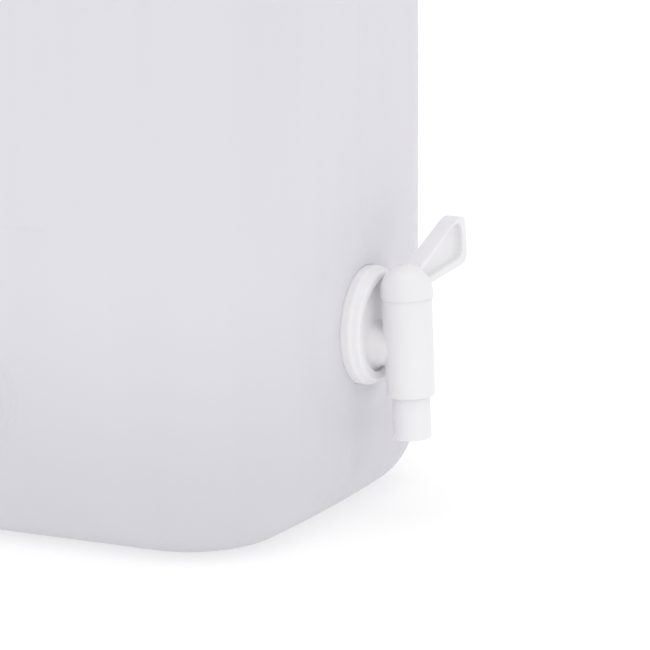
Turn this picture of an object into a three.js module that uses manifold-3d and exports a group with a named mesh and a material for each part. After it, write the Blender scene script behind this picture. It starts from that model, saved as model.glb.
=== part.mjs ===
// Detergent dispenser bottle: a blow-moulded container with a screw-capped filler, a small screw-capped vent,
// a moulded carrying handle and a rotary-plug tap low on its +X end.
// Millimetres, +Z up. The mould seam lies in the plane Y = 0. Shapes are made about the middle of the base;
// the whole is then moved along X so that the origin is under its middle.
import * as THREE from 'three';
import { ParametricGeometry } from 'three/addons/geometries/ParametricGeometry.js';
import { mergeVertices } from 'three/addons/utils/BufferGeometryUtils.js';
import Module from 'manifold-3d';

// ---- driving dimensions ------------------------------------------------------------------------------------

const GAP = 0.3; // between pieces that touch
const ROUND = 32; // sides of a round piece
const FINE = 40; // sides of a large round piece

const BODY = {
  halfLength: 140,
  halfDepth: 110,
  cornerRadius: 58.5,
  endBulge: 6.2, // how far the middle of an end stands out of its corners
  wall: 2.6,
  baseInset: 27, // the base's rounding, inwards
  baseRise: 38.7, // the base's rounding, upwards
  standingRing: 12, // width of the ring that the base stands on
  pushUp: 2.5, // how far the base's middle is lifted off the ground
  pushUpSlope: 4, // width of the slope between the standing ring and the lifted middle
  wallTop: 322,
  shoulderInset: 24,
  panelZ: 350,
  crown: 1.5, // how far the top panel's middle stands above its edge
};
const END_STEPS = 2;
const CORNER_STEPS = 6;
const ROUNDING_STEPS = 6;

const HANDLE = {
  rearX: -70,
  frontX: 24,
  gripZ: 388, // middle of the grip
  halfWidth: 14,
  halfHeight: 11,
  wall: 2.4,
  bend: 18, // radius of the bends between the legs and the grip
  splay: 4, // how far a leg's foot stands outside its top
  rooted: 12, // depth of the legs' feet below the top panel's edge
};

const SPOUT = {
  z: 90.5,
  bossRadius: 45,
  bossHeight: 2.6,
  bossRoot: 1.2, // depth of the boss's foot below the end's face, which is bulged
  crestRadius: 31.5,
  seatRadius: 27.3,
  seatMouth: 30.5, // the seat widens to this at the boss's crest
  seatBevel: 1, // where it starts to widen, beyond the end's face
  seatDepth: 2.5, // below the end's face
  seatWall: 2.6,
  rootRadius: 22.2,
  threadDepth: 1.2,
  boreRadius: 19.2,
  end: 4, // the spout's lip, beyond the end's face
  pitch: 3,
  turns: 1.25,
};
const GROOVE = { radius: 21.7, depth: 3, topZ: 60, lowAngle: 1.2 }; // room for a cup under the nozzle
const LEVEL_MARK = { z: 142.4, halfLength: 42, halfHeight: 1.2, raise: 0.8 };
const EMBLEM = { z: 66, radii: [25, 18], width: 2, raise: 0.7 };

const FILLER = {
  x: 74,
  rootRadius: 27.5,
  threadDepth: 1.6,
  pitch: 5,
  turns: 1.5,
  boreRadius: 23.5,
  neckHeight: 30,
  capWall: 2.2,
  capHeight: 20,
  capTop: 2.4,
  chamfer: 1.5,
  liner: 1.6,
  ribs: 24,
  ribHeight: 0.9,
};
const VENT = {
  x: -100,
  rootRadius: 8.6,
  threadDepth: 0.9,
  pitch: 3,
  turns: 1.25,
  boreRadius: 5.6,
  neckHeight: 15,
  capWall: 1.7,
  capHeight: 11,
  capTop: 1.8,
  chamfer: 1,
  liner: 1.2,
  ribs: 14,
  ribHeight: 0.6,
};
const TAMPER = { inner: 30.1, outer: 32.6, low: 3.2, height: 4.4, bridges: 12, stub: [1.2, 1.4, 1.2] };
const TAMPER_BEAD = { low: 8.1, height: 1.5, raise: 1.7 };

const DISC = { radius: 22, thickness: 1.8, seal: 1.2 };
const SPIGOT = { radius: 15, bore: 12.4, length: 14 }; // the tap's sleeve inside the spout
const WEB = 0.4; // how far the sleeve's bore stops short of the disc
const NUT = { outer: 26.8, opening: 20.5, lip: 2, shoulderRadius: 24.6, sideBand: 6 };
const TAP = {
  axisX: 22.75, // the barrel's axis beyond the end's face, at the neck's height
  neckZ: 82,
  lean: THREE.MathUtils.degToRad(2.6), // the barrel's foot leans away from the bottle
  neckRadius: 9.25,
  neckBore: 4.5,
  neckFillet: 2,
  barrelTopRadius: 11.3,
  barrelFootRadius: 10.85,
  barrelTop: 21.8, // heights along the barrel's axis, from the neck's height
  barrelFoot: -22.3,
  bore: 8.9,
  footRounding: 1.6,
};
const PLUG = {
  radius: 8.5,
  square: 7, // side of the head that the lever fits on
  foot: -41.4,
  top: 24.5,
  bore: 5.5,
  boreTop: 8,
  port: 4,
  footRounding: 1.3,
  grooveDepth: 1.75,
  grooveWidth: 2.4,
  sealHeights: [13.5, -13.5],
  clipHeight: -18.2,
};
const O_RING = { section: 0.85, squeeze: 0.12, sides: 6 };
const CLIP = { outer: 9.6, thickness: 1.2, opening: 5 }; // the ring that keeps the plug from lifting out
const DOME = { radius: 11.8, skirt: 3.4, top: 37.2 };
const LEVER = {
  rest: THREE.MathUtils.degToRad(72), // from +X towards +Y
  reach: 35.9,
  foot: 27.4, // heights of the outline's corners, from the neck's height
  heel: 33.4,
  crown: 54.2,
  root: 35.6,
  start: 4,
  rounding: 4.5,
  topRounding: 6.5,
  width: 9.8,
  rim: 2.8,
  web: 3.2,
};
const HEEL_SLOPE = (LEVER.heel - LEVER.foot) / (LEVER.reach - DOME.radius);

const wasm = await Module();
wasm.setup();

// ---- solids ------------------------------------------------------------------------------------------------

// A closed geometry as a solid that can be cut and joined; collapsed triangles are dropped.
function solid(geometry) {
  geometry.deleteAttribute('normal');
  geometry.deleteAttribute('uv');
  const merged = mergeVertices(geometry, 1e-4);
  const { array } = merged.index;
  const corners = [];
  for (let i = 0; i < array.length; i += 3) {
    const [a, b, c] = [array[i], array[i + 1], array[i + 2]];
    if (a !== b && b !== c && c !== a) corners.push(a, b, c);
  }
  const points = merged.attributes.position.array;
  if (signedVolume(points, corners) < 0) corners.reverse();
  return new wasm.Manifold(
    new wasm.Mesh({ numProp: 3, vertProperties: points, triVerts: new Uint32Array(corners) }),
  );
}

function signedVolume(points, corners) {
  const at = (i) => new THREE.Vector3().fromArray(points, corners[i] * 3);
  let sum = 0;
  for (let i = 0; i < corners.length; i += 3) sum += at(i).dot(at(i + 1).cross(at(i + 2)));
  return sum / 6;
}

// A solid of revolution about Z. The profile is a list of [radius, z] that closes on itself or on the axis.
function turned(profile, sides = ROUND) {
  const points = profile.map(([r, z]) => new THREE.Vector2(r, z));
  if (profile[0][0] > 0) points.push(points[0].clone());
  return solid(new THREE.LatheGeometry(points, sides).rotateX(Math.PI / 2));
}

function rod(radius, low, high, sides = ROUND) {
  return turned([[0, low], [radius, low], [radius, high], [0, high]], sides);
}

function tube(inner, outer, low, high, sides = ROUND) {
  return turned([[inner, low], [outer, low], [outer, high], [inner, high]], sides);
}

// An outline in X and Z, extruded across Y about y = 0.
function plate(shape, width) {
  return solid(
    new THREE.ExtrudeGeometry(shape, { depth: width, bevelEnabled: false, curveSegments: 8 })
      .translate(0, 0, -width / 2)
      .rotateX(Math.PI / 2),
  );
}

function box(x, y, z) {
  return solid(new THREE.BoxGeometry(x, y, z));
}

// A helical ridge on a round wall, right-handed about Z, that runs out to nothing at both ends.
// A positive depth stands outwards from the wall and a negative one inwards.
function thread({ radius, depth, pitch, turns, low, sides = 20 }) {
  const root = pitch * 0.22; // half the ridge's width at the wall
  const crest = pitch * 0.1;
  const sunk = Math.sign(depth) * 0.5; // how far the ridge is rooted in the wall
  const section = [[-sunk, -root], [depth, -crest], [depth, crest], [-sunk, root]];
  const runOut = 0.12;
  const at = (u, v, target) => {
    const size = Math.min(1, u / runOut, (1 - u) / runOut);
    const [out, up] = section[Math.round(v * section.length) % section.length];
    const r = radius + (size > 0 ? out * size : 0);
    const angle = 2 * Math.PI * turns * u;
    target.set(r * Math.cos(angle), r * Math.sin(angle), low + pitch * turns * u + up * size);
  };
  return solid(new ParametricGeometry(at, Math.round(sides * turns), section.length));
}

function union(...solids) {
  return solids.reduce((a, b) => a.add(b));
}

function mesh(name, shape, material) {
  const { vertProperties, triVerts } = shape.getMesh();
  const geometry = new THREE.BufferGeometry();
  geometry.setAttribute('position', new THREE.BufferAttribute(vertProperties, 3));
  geometry.setIndex(new THREE.BufferAttribute(triVerts, 1));
  geometry.computeVertexNormals();
  const made = new THREE.Mesh(geometry, material());
  made.name = name;
  return made;
}

// ---- materials ---------------------------------------------------------------------------------------------

const plastic = (color, roughness) => () => new THREE.MeshStandardMaterial({ color, roughness, metalness: 0 });
const bottleWhite = plastic(0xdedbe6, 0.5);
const tapWhite = plastic(0xf2f1f5, 0.35);
const linerWhite = plastic(0xe8e8e4, 0.8);
const sealRubber = plastic(0x3a3a3c, 0.85);

// ---- bottle ------------------------------------------------------------------------------------------------

// The container's plan outline, drawn in by `inset`: wide arcs on the ends, tighter arcs at the corners
// tangent to them, and straight long sides. It always has the same number of points.
function planOutline(inset) {
  const { halfLength, halfDepth, cornerRadius, endBulge } = BODY;
  const endRadius = (halfDepth ** 2 + endBulge ** 2) / (2 * endBulge);
  const endX = halfLength - endRadius;
  const cornerY = halfDepth - cornerRadius;
  const cornerX = endX + Math.sqrt((endRadius - cornerRadius) ** 2 - cornerY ** 2);
  const blend = Math.asin(cornerY / (endRadius - cornerRadius));
  const arc = (x, y, r, from, to, i, steps) => {
    const angle = from + ((to - from) * i) / steps;
    return [x + r * Math.cos(angle), y + r * Math.sin(angle)];
  };
  const quarter = [];
  for (let i = 0; i < END_STEPS; i++) {
    quarter.push(arc(endX, 0, endRadius - inset, 0, blend, i, END_STEPS));
  }
  for (let i = 0; i <= CORNER_STEPS; i++) {
    quarter.push(arc(cornerX, cornerY, cornerRadius - inset, blend, Math.PI / 2, i, CORNER_STEPS));
  }
  const half = [...quarter, ...quarter.map(([x, y]) => [-x, y]).reverse()];
  return [...half, ...half.slice(1, -1).reverse().map(([x, y]) => [x, -y])];
}

// A closed skin through plan outlines at [inset, z], ending in a point over the middle at each end.
function loft(levels) {
  const rings = levels.map(([inset, z]) => planOutline(inset).map(([x, y]) => [x, y, z]));
  const around = rings[0].length;
  const first = levels[0][2] ?? levels[0][1];
  const last = levels.at(-1)[2] ?? levels.at(-1)[1];
  rings.unshift(rings[0].map(() => [0, 0, first]));
  rings.push(rings[0].map(() => [0, 0, last]));
  const at = (u, v, target) => {
    target.fromArray(rings[Math.round(v * (rings.length - 1))][Math.round(u * around) % around]);
  };
  return solid(new ParametricGeometry(at, around, rings.length - 1));
}

// The container's skin, `depth` inside its outer face.
function bodySkin(depth) {
  const { baseInset, baseRise, standingRing, pushUp, pushUpSlope } = BODY;
  const { wallTop, shoulderInset, panelZ, crown } = BODY;
  const levels = [
    [baseInset + standingRing + pushUpSlope + depth, pushUp + depth],
    [baseInset + standingRing + depth, depth],
  ];
  for (let i = 0; i <= ROUNDING_STEPS; i++) {
    const angle = (Math.PI / 2) * (i / ROUNDING_STEPS);
    levels.push([depth + baseInset * (1 - Math.sin(angle)), depth + baseRise * (1 - Math.cos(angle))]);
  }
  for (let i = 0; i <= ROUNDING_STEPS; i++) {
    const angle = (Math.PI / 2) * (i / ROUNDING_STEPS);
    levels.push([
      depth + shoulderInset * (1 - Math.cos(angle)),
      wallTop + (panelZ - depth - wallTop) * Math.sin(angle),
    ]);
  }
  levels.at(-1).push(panelZ + crown - depth);
  return loft(levels);
}

// The handle's bar, drawn in by `depth`: up from the top panel, along the grip and down again.
function handleBar(depth) {
  const { rearX, frontX, gripZ, halfWidth, halfHeight, bend, splay, rooted } = HANDLE;
  const footZ = BODY.panelZ - rooted + depth;
  const path = new THREE.CurvePath();
  const corner = (from, tip, to) => path.add(new THREE.QuadraticBezierCurve3(from, tip, to));
  const at = (x, z) => new THREE.Vector3(x, 0, z);
  path.add(new THREE.LineCurve3(at(rearX - splay, footZ), at(rearX, gripZ - bend)));
  corner(at(rearX, gripZ - bend), at(rearX, gripZ), at(rearX + bend, gripZ));
  path.add(new THREE.LineCurve3(at(rearX + bend, gripZ), at(frontX - bend, gripZ)));
  corner(at(frontX - bend, gripZ), at(frontX, gripZ), at(frontX, gripZ - bend));
  path.add(new THREE.LineCurve3(at(frontX, gripZ - bend), at(frontX + splay, footZ)));
  const section = new THREE.Shape();
  section.absellipse(0, 0, halfWidth - depth, halfHeight - depth, 0, 2 * Math.PI);
  return solid(
    new THREE.ExtrudeGeometry(section, { steps: 14, extrudePath: path, bevelEnabled: false, curveSegments: 7 }),
  );
}

// A neck with its thread, standing on the top panel.
function neck({ x, rootRadius, threadDepth, pitch, turns, neckHeight }) {
  const wall = rod(rootRadius, BODY.panelZ - 2, BODY.panelZ + neckHeight);
  const low = BODY.panelZ + neckHeight - turns * pitch - pitch * 0.5;
  return wall.add(thread({ radius: rootRadius, depth: threadDepth, pitch, turns, low })).translate([x, 0, 0]);
}

function neckBore({ x, boreRadius, neckHeight }) {
  return rod(boreRadius, BODY.panelZ - 10, BODY.panelZ + neckHeight + 1).translate([x, 0, 0]);
}

// Turns a solid made about Z so that its +Z points along +X from the spout's centre on the end's face.
function onSpout(shape, z = SPOUT.z) {
  return shape.rotate([0, 90, 0]).translate([BODY.halfLength, 0, z]);
}

// A bar that follows the end's face and its base rounding along the seam, sunk by `depth` in the face.
function grooveBar(radius, depth) {
  const { baseInset, baseRise, halfLength } = BODY;
  const out = radius - depth;
  const points = [new THREE.Vector3(halfLength + out, 0, GROOVE.topZ)];
  const steps = 3;
  for (let i = 0; i <= steps; i++) {
    const angle = Math.PI / 2 + (GROOVE.lowAngle - Math.PI / 2) * (i / steps);
    const normal = new THREE.Vector2(baseRise * Math.sin(angle), -baseInset * Math.cos(angle)).normalize();
    points.push(new THREE.Vector3(
      halfLength - baseInset * (1 - Math.sin(angle)) + normal.x * out,
      0,
      baseRise * (1 - Math.cos(angle)) + normal.y * out,
    ));
  }
  const section = new THREE.Shape().absarc(0, 0, radius, 0, 2 * Math.PI);
  const path = new THREE.CatmullRomCurve3(points);
  return solid(
    new THREE.ExtrudeGeometry(section, { steps: 6, extrudePath: path, bevelEnabled: false, curveSegments: 12 }),
  );
}

// The raised marks on the long side that faces -Y.
function sideMarks() {
  const { halfDepth } = BODY;
  const sunk = 1;
  const mark = box(2 * LEVEL_MARK.halfLength, LEVEL_MARK.raise + sunk, 2 * LEVEL_MARK.halfHeight)
    .translate([0, -halfDepth - (LEVEL_MARK.raise - sunk) / 2, LEVEL_MARK.z]);
  const rings = EMBLEM.radii.map((radius) =>
    tube(radius - EMBLEM.width, radius, -sunk, EMBLEM.raise)
      .rotate([90, 0, 0])
      .translate([0, -halfDepth, EMBLEM.z]));
  return union(mark, ...rings);
}

function bottleBody() {
  const { wall } = BODY;
  const { bossRadius, bossHeight, bossRoot, crestRadius, rootRadius } = SPOUT;
  const { seatRadius, seatMouth, seatBevel, seatDepth, seatWall } = SPOUT;
  const boss = (r0, r1, low, high) => onSpout(turned([[0, low], [r0, low], [r1, high], [0, high]], FINE));
  const outer = union(
    bodySkin(0),
    boss(bossRadius, crestRadius, -bossRoot, bossHeight),
    handleBar(0),
    neck(FILLER),
    neck(VENT),
    turned([
      [FILLER.rootRadius - 1, TAMPER_BEAD.low],
      [FILLER.rootRadius + TAMPER_BEAD.raise, TAMPER_BEAD.low],
      [FILLER.rootRadius, TAMPER_BEAD.low + TAMPER_BEAD.height],
      [FILLER.rootRadius - 1, TAMPER_BEAD.low + TAMPER_BEAD.height],
    ]).translate([FILLER.x, 0, BODY.panelZ]),
  );
  const inner = union(
    bodySkin(wall),
    boss(bossRadius - wall, crestRadius - 1, -wall - bossRoot, bossHeight - wall),
    handleBar(HANDLE.wall),
  );
  const backing = grooveBar(GROOVE.radius + wall, GROOVE.depth + wall).intersect(bodySkin(0));
  let shell = outer.subtract(inner).add(backing).subtract(grooveBar(GROOVE.radius, GROOVE.depth));
  const seat = onSpout(turned([
    [0, -seatDepth],
    [seatRadius, -seatDepth],
    [seatRadius, seatBevel],
    [seatMouth, bossHeight],
    [seatMouth, bossHeight + 1],
    [0, bossHeight + 1],
  ], FINE));
  const cup = onSpout(rod(seatRadius + seatWall, -seatDepth - seatWall, seatBevel, FINE));
  const spout = union(
    rod(rootRadius, -seatDepth - seatWall, SPOUT.end, FINE),
    thread({
      radius: rootRadius,
      depth: SPOUT.threadDepth,
      pitch: SPOUT.pitch,
      turns: SPOUT.turns,
      low: -seatDepth + 1,
      sides: 32,
    }),
  );
  shell = shell.add(cup).subtract(seat).add(onSpout(spout));
  shell = shell.subtract(onSpout(rod(SPOUT.boreRadius, -seatDepth - 10, SPOUT.end + 1, FINE)));
  return union(shell, sideMarks()).subtract(neckBore(FILLER)).subtract(neckBore(VENT));
}

// ---- caps --------------------------------------------------------------------------------------------------

// A ribbed screw cap, placed tight on its neck, and the height at which its parts meet.
function screwCap(spec) {
  const { x, rootRadius, threadDepth, pitch, turns, neckHeight } = spec;
  const { capWall, capHeight, capTop, chamfer, liner, ribs, ribHeight } = spec;
  const lip = BODY.panelZ + neckHeight;
  const innerRadius = rootRadius + threadDepth + 1.5 * GAP;
  const outerRadius = innerRadius + capWall;
  const ceiling = lip + liner + 2 * GAP;
  const top = ceiling + capTop;
  const ribLength = capHeight - 2 * chamfer;
  const rib = (i) =>
    box(2 * ribHeight, ribHeight * 1.6, ribLength)
      .translate([outerRadius, 0, top - 1.2 * chamfer - ribLength / 2])
      .rotate([0, 0, (360 * i) / ribs]);
  const shellProfile = [
    [0, top],
    [outerRadius - chamfer, top],
    [outerRadius, top - chamfer],
    [outerRadius, top - capHeight],
    [innerRadius, top - capHeight],
    [innerRadius, ceiling],
    [0, ceiling],
  ];
  const low = lip - turns * pitch - pitch;
  const ridge = thread({ radius: innerRadius, depth: -threadDepth, pitch, turns, low });
  const knurls = Array.from({ length: ribs }, (_, i) => rib(i));
  return union(turned(shellProfile, FINE), ridge, ...knurls).translate([x, 0, 0]);
}

// The soft disc inside a cap that seals on the neck's lip.
function capLiner({ x, rootRadius, neckHeight, liner }) {
  const low = BODY.panelZ + neckHeight + GAP;
  return rod(rootRadius - GAP, low, low + liner).translate([x, 0, 0]);
}

// The band that the cap left on the neck when it was first opened, with the stubs of its bridges.
function tamperRing() {
  const low = BODY.panelZ + TAMPER.low;
  const band = tube(TAMPER.inner, TAMPER.outer, low, low + TAMPER.height, FINE);
  const { bridges, stub } = TAMPER;
  const stubs = Array.from({ length: bridges }, (_, i) =>
    box(...stub)
      .translate([(TAMPER.inner + TAMPER.outer) / 2, 0, low + TAMPER.height])
      .rotate([0, 0, (360 * i) / bridges]));
  return union(band, ...stubs).translate([FILLER.x, 0, 0]);
}

// ---- tap ---------------------------------------------------------------------------------------------------

// Distances of the clamped stack from the end's face, along the spout.
const SEAL_LOW = SPOUT.end + GAP;
const DISC_LOW = SEAL_LOW + DISC.seal + GAP;
const DISC_HIGH = DISC_LOW + DISC.thickness;
const NUT_LIP_LOW = DISC_HIGH + GAP;
const NUT_HIGH = NUT_LIP_LOW + NUT.lip;

// Leans a solid made about the barrel's axis, with z = 0 at the neck's height, into its place.
function onBarrel(shape) {
  return shape
    .rotate([0, -THREE.MathUtils.radToDeg(TAP.lean), 0])
    .translate([BODY.halfLength + TAP.axisX, 0, TAP.neckZ]);
}

function ringNut() {
  const threadRoot = SPOUT.rootRadius + SPOUT.threadDepth + 1.5 * GAP;
  const back = -SPOUT.seatDepth + GAP;
  const profile = [
    [threadRoot, back],
    [NUT.outer - 0.6, back],
    [NUT.outer, back + 0.6],
    [NUT.outer, NUT.sideBand - 0.9],
    [NUT.outer - 0.4, NUT.sideBand],
    [NUT.shoulderRadius + 0.9, NUT.sideBand + 0.7],
    [NUT.shoulderRadius, NUT_HIGH - 0.9],
    [NUT.shoulderRadius - 1.2, NUT_HIGH],
    [NUT.opening + 0.5, NUT_HIGH],
    [NUT.opening, NUT_HIGH - 0.5],
    [NUT.opening, NUT_LIP_LOW],
    [threadRoot, NUT_LIP_LOW],
  ];
  const ridge = thread({
    radius: threadRoot,
    depth: -SPOUT.threadDepth,
    pitch: SPOUT.pitch,
    turns: SPOUT.turns,
    low: -SPOUT.seatDepth + 1 + SPOUT.pitch / 2,
    sides: 32,
  });
  return onSpout(union(turned(profile, FINE), ridge));
}

function flangeGasket() {
  return onSpout(tube(SPOUT.boreRadius - 2, SPOUT.rootRadius, SEAL_LOW, SEAL_LOW + DISC.seal, FINE));
}

function tapBody() {
  const { neckRadius, neckBore: bore, neckFillet, barrelTopRadius, barrelFootRadius, barrelTop, barrelFoot } = TAP;
  const r = TAP.footRounding;
  const disc = onSpout(rod(DISC.radius, DISC_LOW, DISC_HIGH, FINE));
  const spigot = onSpout(rod(SPIGOT.radius, DISC_LOW - SPIGOT.length, DISC_LOW + WEB));
  const neckTube = onSpout(rod(neckRadius, DISC_LOW, TAP.axisX), TAP.neckZ);
  const fillet = onSpout(
    turned([
      [0, DISC_LOW + WEB],
      [neckRadius + neckFillet, DISC_LOW + WEB],
      [neckRadius + neckFillet, DISC_HIGH],
      [neckRadius, DISC_HIGH + neckFillet],
      [0, DISC_HIGH + neckFillet],
    ]),
    TAP.neckZ,
  );
  const barrel = onBarrel(turned([
    [0, barrelFoot],
    [barrelFootRadius - r, barrelFoot],
    [barrelFootRadius - 0.3 * r, barrelFoot + 0.3 * r],
    [barrelFootRadius, barrelFoot + r],
    [barrelTopRadius, barrelTop],
    [0, barrelTop],
  ]));
  const plugBore = onBarrel(union(
    rod(TAP.bore, barrelFoot - 1, barrelTop + 1),
    rod(CLIP.outer + GAP, barrelFoot - 1, PLUG.clipHeight + CLIP.thickness / 2 + GAP),
  ));
  const spigotBore = onSpout(rod(SPIGOT.bore, DISC_LOW - SPIGOT.length - 1, DISC_LOW - WEB));
  const flow = onSpout(rod(bore, 0, TAP.axisX, 24), TAP.neckZ);
  return union(disc, spigot, neckTube, fillet, barrel).subtract(spigotBore).subtract(flow).subtract(plugBore);
}

// The hollow plug that turns in the barrel; its foot is the nozzle. Made with its port facing +X.
function plugBlank() {
  const { radius, square, foot, top, bore, boreTop, port, footRounding: r, grooveDepth, grooveWidth } = PLUG;
  const stem = union(
    turned([[0, foot], [radius - r, foot], [radius - 0.3 * r, foot + 0.3 * r], [radius, foot + r],
      [radius, TAP.barrelTop + GAP], [0, TAP.barrelTop + GAP]]),
    box(square, square, top - TAP.barrelTop).translate([0, 0, (top + TAP.barrelTop) / 2]),
  );
  const grooves = [...PLUG.sealHeights, PLUG.clipHeight].map((z, i) => {
    const half = i < PLUG.sealHeights.length ? grooveWidth / 2 : CLIP.thickness / 2 + GAP;
    return tube(radius - grooveDepth, radius + 1, z - half, z + half);
  });
  const hollow = union(
    rod(bore, foot - 1, boreTop),
    rod(port, 0, radius + 2, 24).rotate([0, 90, 0]),
  );
  return stem.subtract(union(...grooves, hollow));
}

// Turns a solid made facing +X to the lever's rest direction and leans it with the barrel.
function atRest(shape) {
  return onBarrel(shape.rotate([0, 0, THREE.MathUtils.radToDeg(LEVER.rest)]));
}

// The valve is open when the lever points along +X, so the port then faces back to the bottle.
function tapPlug() {
  return atRest(plugBlank().rotate([0, 0, 180]));
}

function oRing(height) {
  const { section, squeeze, sides } = O_RING;
  const middle = TAP.bore - squeeze - section;
  const round = Array.from({ length: sides }, (_, i) => {
    const angle = (2 * Math.PI * i) / sides;
    return [middle + section * Math.cos(angle), height + section * Math.sin(angle)];
  });
  return onBarrel(turned(round));
}

// An open ring that springs into the plug's lowest groove.
function plugClip() {
  const { outer, thickness, opening } = CLIP;
  const inner = PLUG.radius - PLUG.grooveDepth + GAP;
  const ring = tube(inner, outer, PLUG.clipHeight - thickness / 2, PLUG.clipHeight + thickness / 2);
  return atRest(ring.subtract(box(outer, opening, 2 * thickness).translate([outer, 0, PLUG.clipHeight])));
}

// The lever's outline as [distance from the barrel's axis, height], with `inset` taken off all round.
function leverOutline(inset) {
  const { start, reach, foot, heel, crown, root, rounding, topRounding } = LEVER;
  const shape = new THREE.Shape();
  const tip = reach - inset;
  const high = crown - inset;
  const low = heel + inset;
  shape.moveTo(start, foot + inset);
  shape.lineTo(DOME.radius - 1, foot + inset);
  shape.lineTo(tip - rounding, low - rounding * HEEL_SLOPE);
  shape.quadraticCurveTo(tip, low, tip, low + rounding);
  shape.lineTo(tip, high - topRounding);
  shape.quadraticCurveTo(tip, high, tip - topRounding, high);
  shape.lineTo(start, root - inset);
  shape.closePath();
  return shape;
}

function leverHandle() {
  const { radius, skirt, top } = DOME;
  const { width, rim, web } = LEVER;
  const low = TAP.barrelTop + GAP;
  const edge = 0.4;
  const profile = [[0, low], [radius - edge, low], [radius, low + edge], [radius, low + skirt]];
  const steps = 8;
  const rise = top - profile.at(-1)[1];
  for (let i = 1; i <= steps; i++) {
    const angle = (Math.PI / 2) * (i / steps);
    profile.push([radius * Math.cos(angle), top - rise + rise * Math.sin(angle)]);
  }
  const pocketDepth = (width - web) / 2;
  const pocket = (side) => plate(leverOutline(rim), pocketDepth + 1)
    .translate([0, side * ((web + pocketDepth + 1) / 2), 0])
    .subtract(rod(radius - 0.5, low, top));
  const socketSide = PLUG.square + 2 * GAP;
  const socket = box(socketSide, socketSide, socketSide).translate([0, 0, PLUG.top + GAP - socketSide / 2]);
  const blade = plate(leverOutline(0), width).subtract(pocket(-1)).subtract(pocket(1));
  return atRest(union(turned(profile), blade).subtract(socket));
}

// ---- assembly ----------------------------------------------------------------------------------------------

const dispenser = new THREE.Group();
dispenser.add(
  mesh('bottle_body', bottleBody(), bottleWhite),
  mesh('filler_cap', screwCap(FILLER), tapWhite),
  mesh('filler_cap_liner', capLiner(FILLER), linerWhite),
  mesh('tamper_ring', tamperRing(), tapWhite),
  mesh('vent_cap', screwCap(VENT), tapWhite),
  mesh('vent_cap_gasket', capLiner(VENT), sealRubber),
  mesh('tap_body', tapBody(), tapWhite),
  mesh('tap_ring_nut', ringNut(), tapWhite),
  mesh('tap_flange_gasket', flangeGasket(), sealRubber),
  mesh('tap_plug', tapPlug(), tapWhite),
  mesh('lever_handle', leverHandle(), tapWhite),
  mesh('plug_upper_o_ring', oRing(PLUG.sealHeights[0]), sealRubber),
  mesh('plug_lower_o_ring', oRing(PLUG.sealHeights[1]), sealRubber),
  mesh('plug_clip', plugClip(), tapWhite),
);

// The frame's origin is under the middle of the whole object.
const extent = new THREE.Box3().setFromObject(dispenser);
dispenser.position.x = -(extent.min.x + extent.max.x) / 2;

export default dispenser;
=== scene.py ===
"""Looks of the detergent dispenser bottle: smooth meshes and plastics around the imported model.

Meshes are built in millimetres and shrunk to metres when they are finished. The bottle's own axes start in the
middle of its plan, on the ground; `bottle_x` is where that point lies in the row frame.
"""
import math

import bmesh
import bpy
from mathutils import Matrix, Vector, noise


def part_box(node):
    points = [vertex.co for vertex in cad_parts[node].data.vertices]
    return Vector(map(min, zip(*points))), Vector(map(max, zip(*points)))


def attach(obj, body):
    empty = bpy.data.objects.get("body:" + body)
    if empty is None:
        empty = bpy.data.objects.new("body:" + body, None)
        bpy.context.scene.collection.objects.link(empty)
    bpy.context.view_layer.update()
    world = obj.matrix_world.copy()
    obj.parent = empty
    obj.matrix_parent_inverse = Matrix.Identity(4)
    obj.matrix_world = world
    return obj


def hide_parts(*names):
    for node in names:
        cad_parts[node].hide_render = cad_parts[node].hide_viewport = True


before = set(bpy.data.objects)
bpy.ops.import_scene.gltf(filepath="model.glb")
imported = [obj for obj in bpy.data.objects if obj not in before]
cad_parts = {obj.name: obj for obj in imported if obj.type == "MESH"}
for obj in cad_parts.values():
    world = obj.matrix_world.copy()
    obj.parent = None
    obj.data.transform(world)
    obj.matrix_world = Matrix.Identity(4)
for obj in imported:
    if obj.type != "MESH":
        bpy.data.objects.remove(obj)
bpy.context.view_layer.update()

MM = 0.001

# ---- driving dimensions ------------------------------------------------------------------------------------

HALF_LENGTH, HALF_DEPTH = 140.0, 110.0
CORNER_RADIUS = 58.5
END_BULGE = 6.2
SKIN_INSET = 0.3  # the skin lies this far inside the CAD box, which leaves room for the seam and the marks
WALL = 2.6
BASE_INSET, BASE_RISE = 27.0, 38.7
STANDING_RING, PUSH_UP = 12.0, 2.5
WALL_TOP, SHOULDER_INSET, PANEL_Z, CROWN = 322.0, 24.0, 350.0, 1.5

SPOUT_Z, NECK_Z = 90.5, 82.0
BOSS_RADIUS, BOSS_CREST, BOSS_HEIGHT = 46.0, 31.0, 2.6
SEAT_RADIUS, SEAT_DEPTH, SEAT_MOUTH, SEAT_BEVEL = 26.86, 2.5, 31.0, 1.9
SPOUT_ROOT, SPOUT_BORE, SPOUT_END = 22.2, 19.2, 4.0
VALLEY_Y, VALLEY_HALF, VALLEY_DEPTH, VALLEY_LOW = -3.0, 9.0, 2.5, 30.0
MARK_HALF, FINE_TOP = 46.0, 145.0  # the skin's mesh is fine this far from the middle of the side, and this far up
LEVEL_Z, LEVEL_HALF, LEVEL_SPREAD, LEVEL_RAISE = 142.4, 42.0, 0.8, 0.75
RING_Z, RINGS, RING_RAISE = 66.0, (24.0, 17.0), 1.05
SEAM_HEIGHT, SEAM_HALF = 0.28, 0.7
WAVE_DEPTH, WAVE_LENGTH = 0.35, 70.0

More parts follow.
